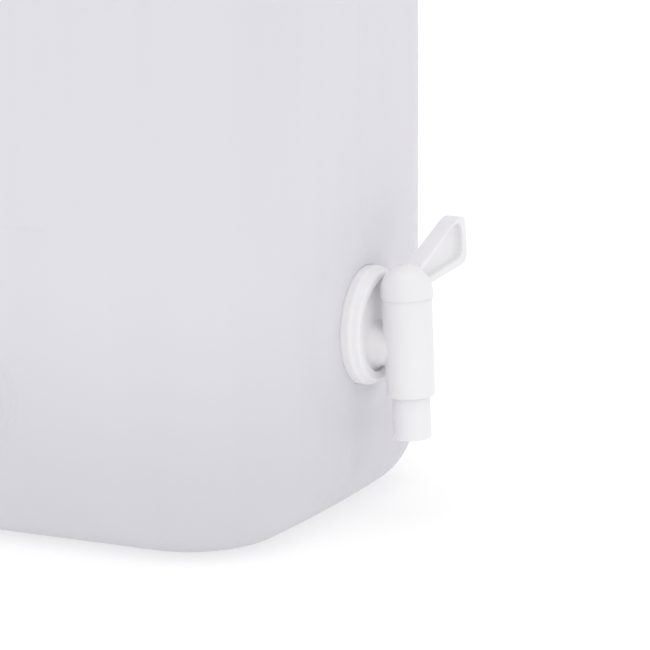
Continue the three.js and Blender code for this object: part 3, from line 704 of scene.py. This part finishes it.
def tap_plug():
    """The hollow plug with its port; the foot is the nozzle."""
    outline = rounded([(0, PLUG_FOOT, 0), (PLUG_RADIUS, PLUG_FOOT, 1.3), (PLUG_RADIUS, BARREL_TOP + GAP, 0.3),
                       (0, BARREL_TOP + GAP, 0)], 6)
    plug = lathe("tap_plug_visual", outline, 128)
    seal_half, clip_half = SEAL_SECTION + 0.35, (CLIP_HIGH - CLIP_LOW) / 2 + GAP
    for z, half in ((SEAL_Z, seal_half), (-SEAL_Z, seal_half), ((CLIP_LOW + CLIP_HIGH) / 2, clip_half)):
        root, past = PLUG_RADIUS - PLUG_GROOVE, PLUG_RADIUS + 1
        groove = [(root, z - half), (past, z - half), (past, z + half), (root, z + half)]
        cut(plug, lathe("groove", groove, 128))
    bore = lathe("way", rounded([(0, PLUG_FOOT - 1, 0), (PLUG_BORE + 1.4, PLUG_FOOT - 1, 0),
                                 (PLUG_BORE, PLUG_FOOT + 0.6, 0.4), (PLUG_BORE, PLUG_BORE_TOP, 2),
                                 (0, PLUG_BORE_TOP, 0)]), 96)
    port = moved(cylinder("way", PORT_RADIUS, 0, PLUG_RADIUS + 2, 48), Matrix.Rotation(math.pi / 2, 4, "Y"))
    cut(plug, bore, port)
    join(plug, block("spline", (SPLINE, SPLINE, 3), (0, 0, BARREL_TOP + 1.2)))
    return on_barrel(plug, LEVER_REST + math.pi)


def lever_outline(inset):
    """The paddle's outline as (distance from the barrel's axis, height), drawn in by `inset`."""
    tip, high = LEVER_REACH - inset, LEVER_CROWN - inset
    return rounded([(LEVER_START, LEVER_FOOT + inset, 0), (11, LEVER_FOOT + inset, 1),
                    (tip, LEVER_HEEL + inset, 4.5), (tip, high, 7), (tip - 4.8, high, 3.5),
                    (LEVER_START, LEVER_ROOT - inset, 0)], 7)


def slab(name, outline, low, high):
    """An outline in X and Z given thickness along Y."""
    rings = [[(x, y, z) for x, z in outline] for y in (low, high)]
    return make_object(name, *ring_grid(rings))


def lever():
    low = BARREL_TOP + SEEN_GAP
    outline = [(0, low), (DOME_RADIUS - 0.4, low), (DOME_RADIUS, low + 0.4), (DOME_RADIUS, low + 3.4)]
    rise, steps = DOME_TOP - outline[-1][1], 24
    for i in range(1, steps + 1):
        a = math.pi / 2 * i / steps
        outline.append((DOME_RADIUS * math.cos(a), DOME_TOP - rise + rise * math.sin(a)))
    dome = lathe("lever_visual", outline, 128)
    blade = slab("blade", lever_outline(0), -LEVER_WIDTH / 2, LEVER_WIDTH / 2)
    for side in (-1, 1):
        edges = sorted((side * LEVER_WEB / 2, side * (LEVER_WIDTH / 2 + 1)))
        cut(blade, slab("pocket", lever_outline(LEVER_RIM), *edges))
    join(dome, blade)
    soften(dome, 0.38, 5)
    cut(dome, cylinder("rim", BARREL_R_TOP + SEEN_GAP, low - 1, BARREL_TOP + RIM + SEEN_GAP, 128),
        block("socket", (SOCKET, SOCKET, 8), (0, 0, BARREL_TOP - 1)),
        moved(cylinder("pin_mark", PIN_MARK, -0.5, 2, 24),
              Matrix.Translation((PIN_REACH, -LEVER_WEB / 2, PIN_Z)) @ Matrix.Rotation(math.pi / 2, 4, "X")))
    return on_barrel(dome, LEVER_REST)


def flange_gasket():
    low = SPOUT_END + GAP
    return on_spout(lathe("flange_gasket_visual", rounded([
        (SPOUT_BORE - 2, low, 0.3), (SPOUT_ROOT, low, 0.3), (SPOUT_ROOT, low + 1.2, 0.3),
        (SPOUT_BORE - 2, low + 1.2, 0.3)], 2)))


def o_ring(name, height):
    middle = BARREL_BORE - SEAL_GAP - SEAL_SECTION
    return on_barrel(lathe(name, [(middle + SEAL_SECTION * math.cos(math.pi * i / 8),
                                   height + SEAL_SECTION * math.sin(math.pi * i / 8)) for i in range(16)]))


def plug_clip():
    ring = lathe("plug_clip_visual", rounded([(CLIP_INNER, CLIP_LOW, 0.2), (CLIP_OUTER, CLIP_LOW, 0.2),
                                              (CLIP_OUTER, CLIP_HIGH, 0.2), (CLIP_INNER, CLIP_HIGH, 0.2)], 2))
    cut(ring, block("opening", (6, 5, 3), (CLIP_OUTER - 1, 0, (CLIP_LOW + CLIP_HIGH) / 2)))
    return on_barrel(ring, LEVER_REST)


finish_piece(ring_nut(), "bottle", "tap_plastic", tap_plastic, "tap_ring_nut")
finish_piece(flange_gasket(), "bottle", "seal_rubber", seal_rubber, "tap_flange_gasket")
finish_piece(tap_body(), "bottle", "tap_plastic", tap_plastic, "tap_body")
finish_piece(tap_plug(), "valve", "tap_plastic", tap_plastic, "tap_plug")
finish_piece(lever(), "valve", "tap_plastic", tap_plastic, "lever_handle", sharp=60)
finish_piece(plug_clip(), "valve", "tap_plastic", tap_plastic, "plug_clip")
for end, z in (("upper", SEAL_Z), ("lower", -SEAL_Z)):
    finish_piece(o_ring(f"{end}_o_ring_visual", z), "valve", "seal_rubber", seal_rubber, f"plug_{end}_o_ring")


# ---- stage -------------------------------------------------------------------------------------------------


def floor():
    """A wide pale sheet that the bottle stands on, just under its standing ring."""
    half, z = 6000, -0.05
    sheet = make_object("floor", [(-half, -half, z), (half, -half, z), (half, half, z), (-half, half, z)],
                        [(0, 1, 2, 3)])
    sheet.data.transform(Matrix.Scale(MM, 4))
    m = Nodes("floor_white", Roughness=0.9, Emission_Color=(1, 1, 1, 1), Emission_Strength=0.5)
    m.link(m.blend(m.noise(2, 2), (0.55, 0.55, 0.55), (0.57, 0.57, 0.57)), m.shader.inputs["Base Color"])
    sheet.data.materials.append(m.material)


def soft_light(name, place, size, power):
    """A square soft box at `place` in millimetres, facing the bottle's middle."""
    data = bpy.data.lights.new(name, "AREA")
    data.size = size * MM
    data.energy = power
    light = bpy.data.objects.new(name, data)
    light.location = Vector(place) * MM
    aim = Vector((bottle_x, 0, 180)) - Vector(place)
    light.rotation_euler = aim.to_track_quat("-Z", "Y").to_euler()
    bpy.context.scene.collection.objects.link(light)


def studio():
    world = bpy.data.worlds.new("studio")
    world.use_nodes = True
    world.node_tree.nodes["Background"].inputs["Color"].default_value = (1, 1, 1, 1)
    world.node_tree.nodes["Background"].inputs["Strength"].default_value = 0.88
    bpy.context.scene.world = world
    bpy.context.scene.view_settings.view_transform = "Standard"
    soft_light("overhead", (100, -300, 2200), 1600, 8)
    soft_light("key", (1500, -1850, 900), 1600, 1)


def camera():
    """Looks at the tap's end from the front right and a little above, through a long lens."""
    azimuth, elevation, roll = math.radians(26.15), math.radians(12.2), math.radians(-0.36)
    distance, sensor, lens = 1476, 36, 181.66154
    target = Vector((face_x - 18.7, 0, 88.3))
    back = Vector((math.sin(azimuth) * math.cos(elevation), -math.cos(azimuth) * math.cos(elevation),
                   math.sin(elevation)))
    data = bpy.data.cameras.new("camera")
    data.sensor_width = sensor
    data.lens = lens
    data.clip_end = 50
    made = bpy.data.objects.new("camera", data)
    made.location = (target + back * distance) * MM
    made.rotation_mode = "QUATERNION"
    made.rotation_quaternion = (-back).to_track_quat("-Z", "Y") @ Matrix.Rotation(roll, 3, "Z").to_quaternion()
    bpy.context.scene.collection.objects.link(made)
    bpy.context.scene.camera = made


floor()
studio()
camera()
